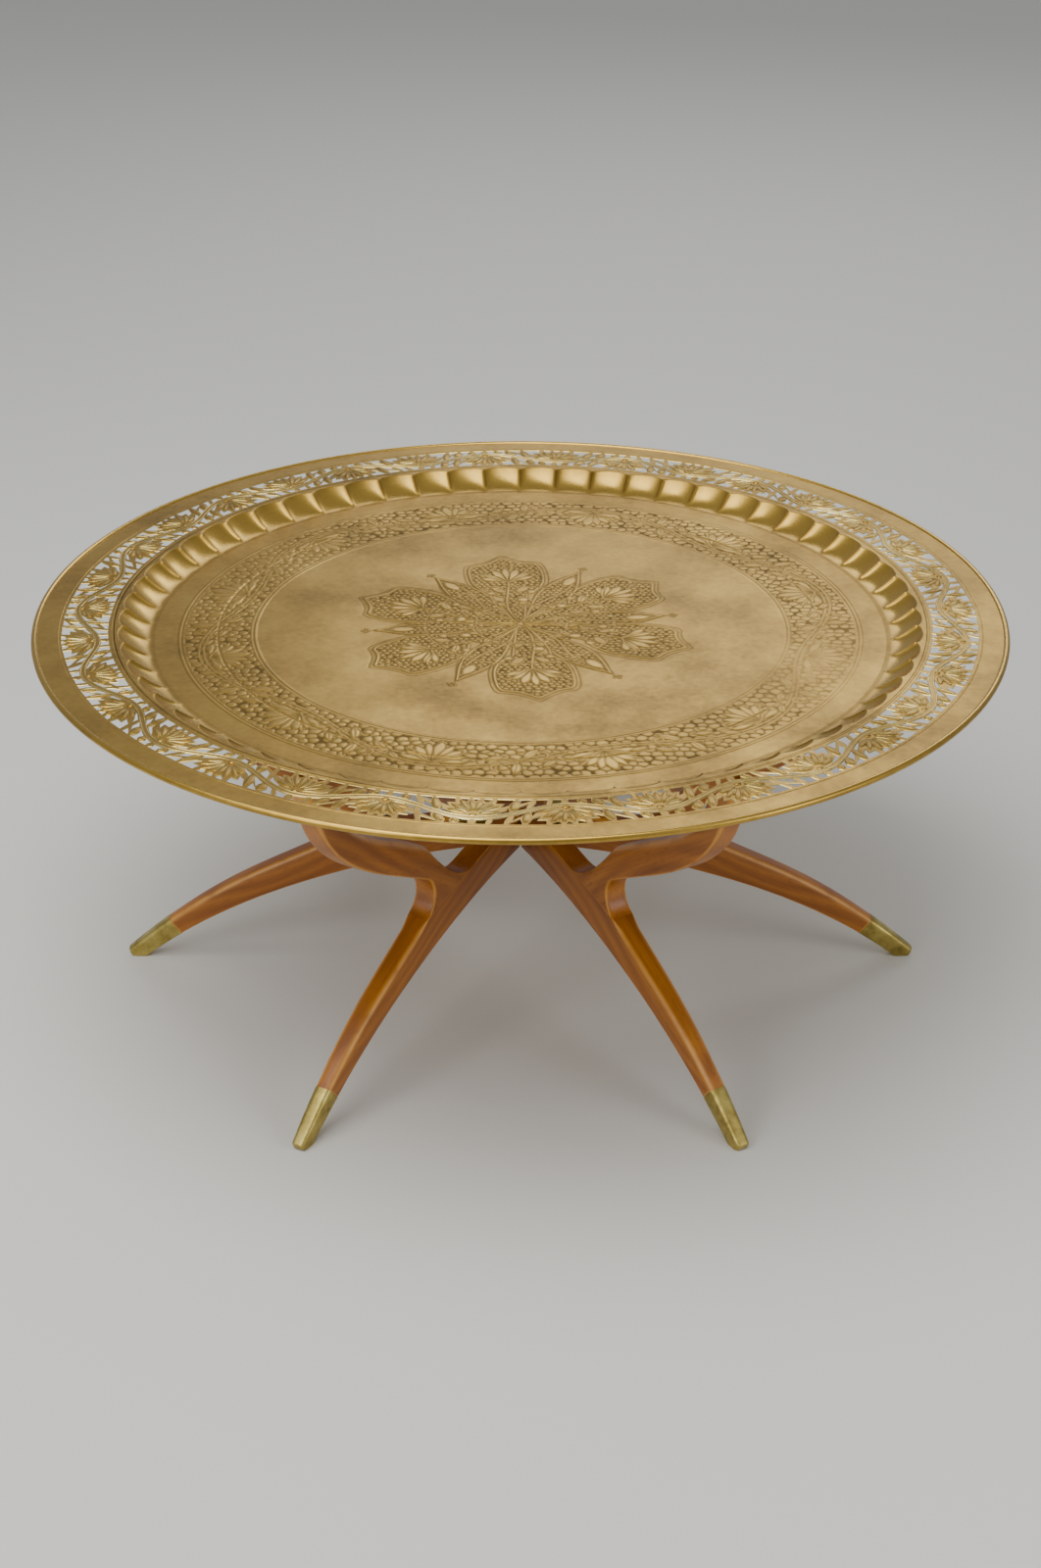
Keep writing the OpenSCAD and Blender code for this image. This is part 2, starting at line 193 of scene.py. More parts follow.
def aged_brass(name, bright, middle, patina, rough=(0.3, 0.46), chased=False, cell=9.0):
    """Sheet or cast brass dulled by age: a satin metal that is browner and duller in patches."""
    material, tree, shader = surface(name)
    place = put(tree, "TexCoord").outputs["Object"]
    # patches of patina 60 to 150 mm across
    clouds = put(tree, "TexNoise", {"Vector": place, "Scale": cell, "Detail": 5.0, "Roughness": 0.62})
    # rubbing marks and small spots, about 6 mm
    spots = put(tree, "TexNoise", {"Vector": place, "Scale": 150.0, "Detail": 3.0})
    tone = put(tree, "Mix", {"Factor": 0.22, "A": clouds.outputs["Fac"], "B": spots.outputs["Fac"]})
    colour = put(tree, "ValToRGB", {"Fac": tone.outputs["Result"]},
                 stops=[(0.32, patina), (0.66, bright), (0.5, middle)]).outputs["Color"]
    gloss = put(tree, "MapRange", {"Value": tone.outputs["Result"], "From Min": 0.3, "From Max": 0.7,
                                   "To Min": rough[1], "To Max": rough[0]}).outputs[0]
    if chased:
        # dirt left in the chased lines, painted shade on the ridges between the slope's hollows, and polish
        # on the raised and rubbed places, with painted highlights in the slope's hollows and on top of the
        # rolled edge
        depth = put(tree, "Attribute", attribute_name="depth").outputs["Fac"]
        polish_and_highlight = put(tree, "Attribute", attribute_name="polish_and_highlight").outputs["Fac"]
        for mask, tint in ((depth, "#4C3A14"), (polish_and_highlight, "#C9A44E")):
            tinted = put(tree, "Mix", {"Factor": mask, "A": colour, "B": tint}, data_type="RGBA")
            colour = tinted.outputs["Result"]
        for mask, roughness in ((polish_and_highlight, 0.2), (depth, 0.62)):
            gloss = put(tree, "Mix", {"Factor": mask, "A": gloss, "B": roughness}).outputs["Result"]
    tree.links.new(colour, shader.inputs["Base Color"])
    tree.links.new(gloss, shader.inputs["Roughness"])
    shader.inputs["Metallic"].default_value = 1.0
    # hammer and polishing marks about 12 mm across
    marks = put(tree, "TexNoise", {"Vector": place, "Scale": 85.0, "Detail": 2.0})
    bump = put(tree, "Bump", {"Height": marks.outputs["Fac"], "Strength": 0.12, "Distance": 0.001})
    tree.links.new(bump.outputs["Normal"], shader.inputs["Normal"])
    return material


# reddish brown legs and brackets, and honey-coloured rails whose tops are painted a lighter orange, partly
# bleached lacquer and partly painted top light
LEG_WOOD = lacquered_wood("lacquered_teak_legs", "#773F0A", "#9A5A12", "#B8741A", "#D99A3C")
RAIL_WOOD = lacquered_wood("lacquered_teak_rails", "#824809", "#A8640C", "#C47E14", "#F8B230")
# dull gold sheet, brown in its chased lines and brighter where it is rubbed, with painted shade and
# highlights on the slope's hollows and a painted highlight along the rolled edge's top
TRAY_BRASS = aged_brass("aged_tray_brass", "#BD9A48", "#A8863C", "#826830", (0.3, 0.44), chased=True)
# the same sheet, pale and bright where the saw and the file have cut it
CUT_BRASS = aged_brass("bright_cut_brass", "#E2D08E", "#CCB46E", "#A8904A", (0.22, 0.34))
# small hinge parts, tarnished a little green, and paler cast ferrules
HINGE_BRASS = aged_brass("dull_hinge_brass", "#A8924A", "#8C7836", "#5C4C20", (0.32, 0.5), cell=70.0)
FERRULE_BRASS = aged_brass("dull_ferrule_brass", "#CDBB6E", "#B29E56", "#7C6A34", (0.3, 0.46), cell=45.0)

# ------------------------------------------------------------------ mesh helpers


def skin(rings, closed=False, marks=None):
    """A smooth skin through rings of points, in millimetres. Its ends are capped, or joined to each other.
    marks are values kept at the points, one array of rings for each name."""
    def wrapped(values):
        """The values with the first ones repeated at the end, which closes each ring."""
        if closed:
            values = np.concatenate([values, values[:1]])
        return np.concatenate([values, values[:, :1]], axis=1)

    rings = wrapped(np.asarray(rings, float) * MM)
    bm = bmesh.new()
    bmesh.ops.create_grid(bm, x_segments=rings.shape[1] - 1, y_segments=rings.shape[0] - 1, size=1)
    for vertex, point in zip(bm.verts, rings.reshape(-1, 3).tolist()):
        vertex.co = point
    for name, values in (marks or {}).items():
        layer = bm.verts.layers.float.new(name)
        for vertex, value in zip(bm.verts, wrapped(values).ravel().tolist()):
            vertex[layer] = value
    bmesh.ops.remove_doubles(bm, verts=bm.verts[:], dist=2e-6)
    edges = [e for e in bm.edges if e.is_boundary]
    if edges:
        bmesh.ops.holes_fill(bm, edges=edges, sides=0)
    bmesh.ops.recalc_face_normals(bm, faces=bm.faces[:])
    return bm


def mesh_from(name, bm):
    """Keeps a working mesh as a mesh with a name."""
    mesh = bpy.data.meshes.new(name)
    bm.to_mesh(mesh)
    bm.free()
    return mesh


def stand_up(name, data):
    """Puts a mesh, a drawing, a light or a camera in the scene as an object."""
    obj = bpy.data.objects.new(name, data)
    bpy.context.scene.collection.objects.link(obj)
    return obj


def finish_piece(name, bm, material, body, nodes=(), sharp=35):
    """Makes the piece's object, which rides on a body and stands for its CAD nodes."""
    mesh = mesh_from(name, bm)
    mesh.materials.append(material)
    mesh.shade_smooth()
    mesh.set_sharp_from_angle(angle=math.radians(sharp))
    obj = stand_up(name, mesh)
    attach(obj, body)
    if nodes:
        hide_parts(*nodes)
    return obj


def to_side(bm, side_x, side_y=1):
    """Mirrors a mesh to its side of the middle, with its faces still outward."""
    bmesh.ops.scale(bm, vec=(side_x, side_y, 1), verts=bm.verts[:])
    bmesh.ops.recalc_face_normals(bm, faces=bm.faces[:])


def curve(p, q, h1, h2, n):
    """Points of a smooth curve from p to q, with its handles at the fractions h1 and h2 of their box."""
    p, q = np.array(p, float), np.array(q, float)
    a, b = p + np.array(h1) * (q - p), p + np.array(h2) * (q - p)
    t = np.linspace(0, 1, n + 1)[:, None]
    return (1 - t) ** 3 * p + 3 * (1 - t) ** 2 * t * a + 3 * (1 - t) * t * t * b + t ** 3 * q


def spaced(path, n):
    """n + 1 points evenly spaced along a path."""
    steps = np.concatenate([[0], np.cumsum(np.linalg.norm(np.diff(path, axis=0), axis=1))])
    at = np.linspace(0, steps[-1], n + 1)
    return np.stack([np.interp(at, steps, path[:, i]) for i in (0, 1)], axis=1)


def ramp(value, points):
    """Straight lines through (value, result) points."""
    return float(np.interp(value, [p[0] for p in points], [p[1] for p in points]))


# ------------------------------------------------------------------ outline of one arm, u outward and z up

TOE = (118, 172.5)
KNEE = (204, 236.6)
NOTCH = np.array([219.5, 176.0])
NOTCH_ARC = np.array([NOTCH + 26.3 * np.array([math.cos(a), math.sin(a)])
                      for a in np.radians(np.linspace(116, 242, 33))])
LOWER_RAIL_TOP = curve((0, 188.3), TOE, (0.3, 0), (0.68, 0.46), 60)
LEG_TOP = curve(NOTCH_ARC[-1], (440, 8), (0.32, 0.27), (0.555, 0.354), 200)
LEG_BOTTOM = curve((0, 148.6), (420, 0), (0.305, 0.048), (0.735, 0.367), 600)
BRACKET_OUTER = curve((403, 366), NOTCH_ARC[0], (0.15, 0.532), (0.621, 0.727), 200)
BRACKET_INNER = curve((371, 366), KNEE, (0.175, 0.505), (0.59, 0.64), 200)
BRACKET_TOE = curve(KNEE, TOE, (0.395, 0.571), (0.63, 1.08), 100)
TAPER = curve((230, 0), (440, 5.7), (0.45, 0.1), (0.85, 0.55), 40)


def section(p, q, v0, v1, rp, rq, arc=5):
    """A rounded rectangle from p to q and from v0 to v1, with corners of radius rp at p and rq at q."""
    p, q = np.asarray(p, float), np.asarray(q, float)
    length = np.linalg.norm(q - p)
    most = 0.49 * min(length, v1 - v0)
    rp, rq = min(rp, most), min(rq, most)
    corners = []
    for a, v, r, start in ((rp, v1 - rp, rp, 90), (rp, v0 + rp, rp, 180),
                           (length - rq, v0 + rq, rq, 270), (length - rq, v1 - rq, rq, 0)):
        turn = np.radians(np.linspace(start, start + 90, arc + 1))
        corners.append(np.stack([a + r * np.cos(turn), v + r * np.sin(turn)], axis=1))
    points = []
    for i, between in enumerate((2, 3, 2, 3)):
        start, end = corners[i][-1], corners[(i + 1) % 4][0]
        points.append(corners[i])
        points.append(start + (end - start) * (np.arange(1, between + 1) / (between + 1))[:, None])
    flat = np.concatenate(points)
    along = p + (q - p) / length * flat[:, :1]
    return np.stack([along[:, 0], flat[:, 1], along[:, 1]], axis=1)


def faces_at(u, v0, v1):
    """The leg's two faces at a distance from the middle, drawn in by its taper."""
    loss = float(np.interp(abs(u), TAPER[:, 0], TAPER[:, 1])) if abs(u) > 230 else 0
    return v0 + loss, v1 - loss


def leg_rings(v0, v1, top_round, grow=0.0):
    """Rings of the lower rail and leg, from the middle to the sole."""
    tops = np.concatenate([spaced(LOWER_RAIL_TOP, 26)[:-1],
                           spaced(np.array([TOE, NOTCH_ARC[-1]]), 16), spaced(LEG_TOP, 76)[1:]])
    nearest = [int(np.argmin(np.linalg.norm(LEG_BOTTOM - top, axis=1))) for top in tops]
    turn = next(i for i, top in enumerate(tops) if np.linalg.norm(top - tops[-1]) < 70)
    nearest = np.array(nearest, float)
    nearest[turn:] = np.linspace(nearest[turn], len(LEG_BOTTOM) - 1, len(tops) - turn)
    rings = []
    for top, low in zip(tops, LEG_BOTTOM[np.round(nearest).astype(int)]):
        u = top[0]
        a, b = faces_at(u, v0, v1)
        rp = ramp(u, [(0, top_round), (104, top_round), (124, 0.4), (204, 0.4),
                      (222, 6.5), (380, 7), (440, 4)])
        rq = ramp(u, [(0, 1.4), (180, 1.6), (300, 3.0), (440, 3.0)])
        out = (top - low) / np.linalg.norm(top - low) * grow
        rings.append(section(top + out, low - out, a - grow, b + grow, rp, rq))
    a, b = faces_at(440, v0, v1)
    for top, low in (((439.4, 4.6), (420.4, 0)), ((437.4, 1.0), (420.9, 0))):
        rings.append(section(top, low, a - grow, b + grow, 3, 2))
    return rings


def bracket_rings(v0, v1, toe_round):
    """Rings of the bracket, from the top rail to the glue line on the lower rail."""
    inner = np.concatenate([spaced(BRACKET_INNER, 56), spaced(BRACKET_TOE, 30)[1:]])
    outer = np.concatenate([spaced(BRACKET_OUTER, 56), spaced(NOTCH_ARC, 30)[1:]])
    rings = []
    for i, (p, q) in enumerate(zip(inner, outer)):
        rp = ramp(i, [(0, 1.0), (3, 1.5), (12, 9), (64, 9), (86, toe_round)])
        rq = ramp(i, [(0, 8.0), (10, 3.2), (50, 2.0), (60, 4.0), (80, 4.0), (86, 2.5)])
        rings.append(section(p, q, v0, v1, rp, rq))
    return rings


def rail_rings(v0, v1, start):
    """Rings of a top rail from start to its slanted, rounded tip."""
    middle, half = (v0 + v1) / 2, (v1 - v0) / 2
    shrink = (ARM_REACH - RAIL_SLANT) / ARM_REACH
    rings = []
    stations = [(u, half, 0) for u in np.linspace(start, ARM_REACH - RAIL_TIP, 30)]
    for t in np.radians(np.linspace(10, 84, 8)):
        along = ARM_REACH - RAIL_TIP + (RAIL_TIP - 0.4) * math.sin(t)
        stations.append((along, half - RAIL_TIP * (1 - math.cos(t)), 0))
    stations.append((ARM_REACH, half - RAIL_TIP + 0.2, 0.9))
    for u, wide, less in stations:
        rings.append(section((u, RAIL_TOP - less), (u * shrink, RAIL_BOTTOM + less),
                             middle - wide, middle + wide, 1.3, 1.0))
    return rings


def mirrored(rings):
    """The same rings on the other side of the middle, in the order that joins them into one run."""
    flipped = np.array(rings)[::-1].copy()
    flipped[:, :, 0] *= -1
    return flipped


# ------------------------------------------------------------------ placing an arm

WING_IN = PIN[1] * math.cos(OPEN_ANGLE) - PIN[0] * math.sin(OPEN_ANGLE) + 1
PIN_ALONG = PIN[0] * math.cos(OPEN_ANGLE) + PIN[1] * math.sin(OPEN_ANGLE)


def turned(bm, angle):
    """Turns a mesh about the stand's middle."""
    bmesh.ops.rotate(bm, verts=bm.verts[:], cent=(0, 0, 0), matrix=Matrix.Rotation(angle, 3, "Z"))


def cut_away(bm, point, outward):
    """Removes everything on the outward side of a plane and closes the cut."""
    bmesh.ops.bisect_plane(bm, geom=bm.verts[:] + bm.edges[:] + bm.faces[:], dist=1e-7,
                           plane_co=Vector(point) * MM, plane_no=Vector(outward), clear_outer=True)
    edges = [e for e in bm.edges if e.is_boundary]
    bmesh.ops.holes_fill(bm, edges=edges, sides=0)


def wing_place(bm, wing, end=False):
    """Turns an arm to the wing's place, cuts its end by the middle, and mirrors it to its corner."""
    turned(bm, OPEN_ANGLE)
    if end:
        beside_frame = HALF + 0.4
        cut_away(bm, (0, beside_frame, 0), (0, -1, 0))
        cut_away(bm, (1, 0, 0), (-1, 0, 0))
        cut_away(bm, (8, beside_frame, 0), (-7.7, -7, 0))
    to_side(bm, *WINGS[wing])


def arm_points(points, wing):
    """World points, in millimetres, as an arm's own (u, v, z)."""
    points = points.copy()
    if wing is not None:
        points[:, 0] *= WINGS[wing][0]
        points[:, 1] *= WINGS[wing][1]
        c, s = math.cos(OPEN_ANGLE), math.sin(OPEN_ANGLE)
        x, y = points[:, 0].copy(), points[:, 1].copy()
        points[:, 0], points[:, 1] = x * c + y * s, y * c - x * s
    return points


def grain_wear_and_top_light(obj, wing, board_angle, seed):
    """Lays the wood's fibres along its board, and marks the rubbed arrises and tips, and the rails' upward
    faces, which get a painted lighter colour that is partly bleached lacquer and partly painted top light.
    """
    mesh = obj.data
    count = len(mesh.vertices)
    places = np.empty(count * 3)
    normals = np.empty(count * 3)
    mesh.vertices.foreach_get("co", places)
    mesh.vertices.foreach_get("normal", normals)
    place = arm_points(places.reshape(-1, 3), wing)
    normal = arm_points(normals.reshape(-1, 3), wing)
    u, v, z = place.T
    c, s = math.cos(board_angle), math.sin(board_angle)
    along = np.abs(u) * c + z * s if wing is None and board_angle else u * c + z * s
    across = -np.abs(u) * s + z * c if wing is None and board_angle else -u * s + z * c
    rng = random.Random(seed)
    shift = [rng.uniform(-3, 3) for _ in range(3)]
    grain = np.stack([along + shift[0], v + shift[1], across + shift[2]], axis=1)
    flat = np.maximum(np.abs(normal[:, 1]), np.sqrt(np.clip(1 - normal[:, 1] ** 2, 0, 1)))
    wear_and_lit_top = np.clip((1 - flat) / 0.2, 0, 1)
    on_rail = z / MM > RAIL_BOTTOM + 0.5
    tip = np.clip((np.abs(u) / MM - 400) / 18, 0, 1) * on_rail
    # painted top light: the rails' upward-facing faces are painted lighter, partly bleached lacquer and
    # partly light from above
    bleached_and_lit_top = 0.9 * np.clip((normal[:, 2] - 0.6) / 0.3, 0, 1) * on_rail
    wear_and_lit_top = np.clip(np.maximum(wear_and_lit_top, bleached_and_lit_top) + 0.9 * tip, 0, 1)
    mesh.attributes.new("grain", "FLOAT_VECTOR", "POINT").data.foreach_set("vector", grain.ravel())
    mesh.attributes.new("wear_and_lit_top", "FLOAT", "POINT").data.foreach_set("value", wear_and_lit_top)


def hinge_seats(bm, seats):
    """Cuts the leaves' mortises and the knuckles' hollows out of a board's mesh."""
    board = stand_up("board", mesh_from("board", bm))
    tools = []
    for seat in seats:
        tool = stand_up("seat", mesh_from("seat", seat))
        cut = board.modifiers.new("seat", "BOOLEAN")
        cut.operation = "DIFFERENCE"
        cut.solver = "EXACT"
        cut.object = tool
        tools.append(tool)
    done = bmesh.new()
    done.from_object(board, bpy.context.evaluated_depsgraph_get())
    for obj in tools + [board]:
        bpy.data.objects.remove(obj)
    return done


def box_tool(low, high):
    """A box to cut with, from one corner to the other."""
    bm = bmesh.new()
    bmesh.ops.create_cube(bm, size=1)
    low, high = Vector(low) * MM, Vector(high) * MM
    bmesh.ops.scale(bm, vec=high - low, verts=bm.verts[:])
    bmesh.ops.translate(bm, vec=(low + high) / 2, verts=bm.verts[:])
    return bm


def round_tool(x, y, z, height, radius):
    """An upright cylinder to cut with."""
    bm = bmesh.new()
    bmesh.ops.create_cone(bm, cap_ends=True, segments=32, radius1=radius * MM, radius2=radius * MM,
                          depth=height * MM)
    bmesh.ops.translate(bm, vec=Vector((x, y, z)) * MM, verts=bm.verts[:])
    return bm


def frame_seats(z):
    """The seats of the four leaves on the middle frame at one height."""
    seats = []
    for side_x, side_y in WINGS.values():
        xs = sorted((side_x * PIN[0], side_x * (PIN[0] + LEAF[0] + LEAF_ROOM)))
        ys = sorted((side_y * (HALF - LEAF[1] - LEAF_SUNK), side_y * (HALF + 2)))
        seats.append(box_tool((xs[0], ys[0], z - LEAF_SEAT_HALF), (xs[1], ys[1], z + LEAF_SEAT_HALF)))
        seats.append(round_tool(side_x * PIN[0], side_y * PIN[1], z, LEAF[2] + KNUCKLE_ROOM, KNUCKLE_SEAT))
    return seats


def wing_seats(wing, z):
    """The seat of one leaf on a wing's inner face."""
    low = (PIN_ALONG, WING_IN - 2, z - LEAF_SEAT_HALF)
    high = (PIN_ALONG + LEAF[0] + LEAF_ROOM, WING_IN + LEAF[1] + LEAF_SUNK, z + LEAF_SEAT_HALF)
    seats = [box_tool(low, high),
             round_tool(PIN_ALONG, WING_IN - 1, z, LEAF[2] + KNUCKLE_ROOM, KNUCKLE_SEAT)]
    for bm in seats:
        turned(bm, OPEN_ANGLE)
        to_side(bm, *WINGS[wing])
    return seats


# ------------------------------------------------------------------ the stand

def wooden(name, bm, body, slot, wing, board_angle, seed, nodes):
    """Finishes a wooden piece, with its fibres along its board."""
    material = RAIL_WOOD if slot == "rail_wood" else LEG_WOOD
    piece = finish_piece(name, bm, material, body, nodes)
    grain_wear_and_top_light(piece, wing, board_angle, seed)
    return piece


def ferrule(v0, v1):
    """A brass cap over the end of a leg."""
    bm = skin(leg_rings(v0, v1, 1.2, grow=0.25))
    cut_away(bm, (CUT_POINT[0], 0, CUT_POINT[1]), (-LEG_DIR[0], 0, -LEG_DIR[1]))
    return bm


def make_middle_frame():
    """The frame that stays still: a rail, a lower rail with two legs, two brackets and two ferrules."""
    rings = rail_rings(-HALF, HALF, 5)
    bm = skin(np.concatenate([mirrored(rings), rings]))
    bm = hinge_seats(bm, frame_seats(UPPER_HINGE))
    wooden("centre_rail", bm, "centre_frame", "rail_wood", None, 0, 11, ["centre_top_rail"])

    rings = leg_rings(-HALF, HALF, 7.0)
    bm = skin(np.concatenate([mirrored(rings), rings[1:]]))
    for side in (-1, 1):
        cut_away(bm, (side * CUT_POINT[0], 0, CUT_POINT[1]), (side * LEG_DIR[0], 0, LEG_DIR[1]))
    bm = hinge_seats(bm, frame_seats(LOWER_HINGE))
    wooden("centre_lower_rail", bm, "centre_frame", "leg_wood", None, LEG_BOARD, 12, ["centre_arch"])

    for number, (name, side) in enumerate(SIDES.items()):
        bm = skin(bracket_rings(-HALF, HALF, 7.0))
        to_side(bm, side)
        wooden("centre_curve_" + name, bm, "centre_frame", "leg_wood", None, BRACKET_BOARD, 13 + number,
               ["centre_bracket_" + name])
        bm = ferrule(-HALF, HALF)
        to_side(bm, side)
        finish_piece("centre_shoe_" + name, bm, FERRULE_BRASS, "centre_frame",
                     ["centre_ferrule_" + name])


def make_wing(wing, seed):
    """One folding arm: a rail, a lower rail with its leg, a bracket and a ferrule."""
    body = "wing_" + wing
    v0, v1 = WING_IN, WING_IN + BOARD
    bm = skin(rail_rings(v0, v1, -30))
    wing_place(bm, wing, end=True)
    bm = hinge_seats(bm, wing_seats(wing, UPPER_HINGE))
    wooden(body + "_rail", bm, body, "rail_wood", wing, 0, seed, [body + "_top_rail"])

    rings = leg_rings(v0, v1, 1.2)
    first = rings[0].copy()
    first[:, 0] = -30
    bm = skin(np.concatenate([[first], rings]))
    cut_away(bm, (CUT_POINT[0], 0, CUT_POINT[1]), (LEG_DIR[0], 0, LEG_DIR[1]))
    wing_place(bm, wing, end=True)
    bm = hinge_seats(bm, wing_seats(wing, LOWER_HINGE))
    wooden(body + "_lower_rail", bm, body, "leg_wood", wing, LEG_BOARD, seed + 1, [body + "_leg"])

    bm = skin(bracket_rings(v0, v1, 1.5))
    wing_place(bm, wing)
    wooden(body + "_curve", bm, body, "leg_wood", wing, BRACKET_BOARD, seed + 2, [body + "_bracket"])

    bm = ferrule(v0, v1)
    wing_place(bm, wing)
    finish_piece(body + "_shoe", bm, FERRULE_BRASS, body, [body + "_ferrule"])


make_middle_frame()
for order, name in enumerate(WINGS):
    make_wing(name, 20 + 5 * order)

for name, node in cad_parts.items():
    for word, material in (("leaf", HINGE_BRASS), ("pin", HINGE_BRASS), ("screws", HINGE_BRASS),
                           ("rim_wire", TRAY_BRASS)):
        if word in name:
            for holder in node.material_slots:
                holder.material = material

# ------------------------------------------------------------------ the chased work on the tray


def distance_to(points, line, closed=False):
    """The distance from each point to a run of straight lines."""
    line = np.asarray(line, float)
    if closed:
        line = np.concatenate([line, line[:1]])
    best = np.full(len(points), 1e9)
    for a, b in zip(line[:-1], line[1:]):
        run = b - a
        t = np.clip((points - a) @ run / max(run @ run, 1e-12), 0, 1)
        best = np.minimum(best, np.linalg.norm(points - a - t[:, None] * run, axis=1))
    return best


def inside(points, outline):
    """Which points lie inside a closed outline."""
    x, y = points.T
    found = np.zeros(len(points), bool)
    for (x0, y0), (x1, y1) in zip(outline, np.roll(outline, -1, axis=0)):
        crosses = (y0 > y) != (y1 > y)
        if crosses.any():
            found ^= crosses & (x < x0 + (y - y0) * (x1 - x0) / (y1 - y0 + 1e-12))
    return found


class Chasing:
    """The height of chased work over a set of points, in millimetres, and the dirt left in its lines."""

    def __init__(self, points):
        self.points = points
        self.height = np.zeros(len(points))
        self.dirt_and_shade = np.zeros(len(points))
        self.cover = np.zeros(len(points), bool)
        self.pebbled = np.zeros(len(points), bool)

    def around(self, line, reach, closed=False):
        """The points within reach of a line's box, and how far each one is from the line."""
        line = np.asarray(line, float)
        low, high = line.min(axis=0) - reach, line.max(axis=0) + reach
        chosen = np.where(((self.points >= low) & (self.points <= high)).all(axis=1))[0]
        far = distance_to(self.points[chosen], line, closed) if len(chosen) else np.zeros(0)
        return chosen, far

    def line(self, line, lift=0.55, width=1.0, closed=False):
        """A raised line with a dark groove down each side."""
        chosen, far = self.around(line, 5, closed)
        self.height[chosen] = np.maximum(self.height[chosen], lift * np.exp(-(far / width) ** 2))
        grooves = 0.55 * np.exp(-((far - 1.9 * width) / 0.9) ** 2)
        self.dirt_and_shade[chosen] = np.maximum(self.dirt_and_shade[chosen] * (far > width), grooves)
        self.cover[chosen[far < 1.7 * width]] = True

    def groove(self, line, deep=0.35, width=0.8):
        """A line punched into the sheet."""
        chosen, far = self.around(line, 4)
        self.height[chosen] -= deep * np.exp(-(far / width) ** 2)
        self.dirt_and_shade[chosen] = np.maximum(self.dirt_and_shade[chosen], 0.6 * np.exp(-(far / width) ** 2))

    def dome(self, outline, lift=0.7, soft=3.0):
        """A rounded, raised shape with a dark edge."""
        chosen, far = self.around(outline, 3, closed=True)
        within = inside(self.points[chosen], outline)
        height, dirt_and_shade = self.height[chosen], self.dirt_and_shade[chosen]
        rise = lift * np.sqrt(np.clip(far / soft, 0, 1))
        self.height[chosen] = np.where(within, np.maximum(height, rise), height)
        self.dirt_and_shade[chosen] = np.maximum(np.where(within, 0, dirt_and_shade), 0.65 * np.exp(-(far / 0.85) ** 2))
        self.cover[chosen[within | (far < 0.9)]] = True

    def ground(self, outline):
        """Marks the inside of an outline, for pebbles."""
        self.pebbled |= inside(self.points, outline)

    def pebbles(self, spacing, lift, seed, soft):
        """Fills the ground between the shapes with small round bosses, each punched round its edge."""
        chosen = np.where(self.pebbled & ~self.cover)[0]
        if len(chosen) == 0:
            return
        rng = random.Random(seed)
        low, high = self.points[chosen].min(axis=0), self.points[chosen].max(axis=0)
        rows = int((high[1] - low[1]) / (spacing * 0.87)) + 2
        columns = int((high[0] - low[0]) / spacing) + 2
        seeds = [(low[0] + (i + 0.5 * (j % 2) + rng.uniform(-0.24, 0.24)) * spacing,
                  low[1] + (j + rng.uniform(-0.24, 0.24)) * spacing * 0.87, rng.uniform(0.42, 0.58))
                 for j in range(rows) for i in range(columns)]
        tree = KDTree(len(seeds))
        for i, (x, y, _) in enumerate(seeds):
            tree.insert((x, y, 0), i)
        tree.balance()
        for i in chosen:
            (_, which, near), (_, _, next_near) = tree.find_n((self.points[i][0], self.points[i][1], 0), 2)
            margin = min((next_near - near) / 2, seeds[which][2] * 1.12 * spacing - near)
            crown = 1 - 0.35 * near / spacing
            rise = lift * crown * math.sqrt(min(1, max(0, margin - 0.35) / soft))
            self.height[i] = max(self.height[i], rise - 0.1)
            self.dirt_and_shade[i] = max(self.dirt_and_shade[i], 0.8 * math.exp(-(max(0, margin) / 0.75) ** 2))


def polar(r, turn):
    """A point at a distance and a turn from the tray's middle."""
    return np.array([r * math.cos(turn), r * math.sin(turn)])


def laid(points, turn, at=(0, 0), scale=1.0):
    """Points given along and across a direction, laid in the tray's plane."""
    points = np.asarray(points, float) * scale
    c, s = math.cos(turn), math.sin(turn)
    x, y = points.T
    return np.stack([at[0] + x * c - y * s, at[1] + x * s + y * c], axis=1)


def both_sides(half):
    """A closed outline from its left half."""
    half = np.asarray(half, float)
    return np.concatenate([half, (half * (1, -1))[::-1][1:-1]])


TEAR = both_sides(np.concatenate([curve((0, 0), (0.68, 0.115), (0.4, 0.1), (0.8, 1), 5),
                                  curve((0.68, 0.115), (1, 0), (0.5, 0), (0.95, 0.5), 4)[1:]]))
LEAF_SHAPE = both_sides(np.concatenate([curve((0, 0), (0.5, 0.2), (0.15, 0.9), (0.6, 1), 5),
                                        curve((0.5, 0.2), (1, 0), (0.4, 0), (0.75, 0.95), 5)[1:]]))
ROUND = np.array([(math.cos(a), math.sin(a)) for a in np.linspace(0, 2 * math.pi, 17)[:-1]])
PETAL = both_sides(np.concatenate([curve((40, 0), (74, 12), (0.5, 0.5), (0.8, 0.6), 6),
                                   curve((74, 12), (134, 40), (0.3, 0.9), (0.6, 1), 10)[1:],
                                   curve((134, 40), (161, 33), (0.5, 0), (0.95, 0.2), 6)[1:],
                                   curve((161, 33), (181, 0), (0.1, 0.5), (0.6, 0.7), 8)[1:]]))
SLIM_LEAF = both_sides(np.concatenate([curve((14, 0), (92, 17), (0.4, 0.5), (0.7, 1), 12),
                                       curve((92, 17), (153, 0), (0.4, 0), (0.8, 0.8), 12)[1:]]))


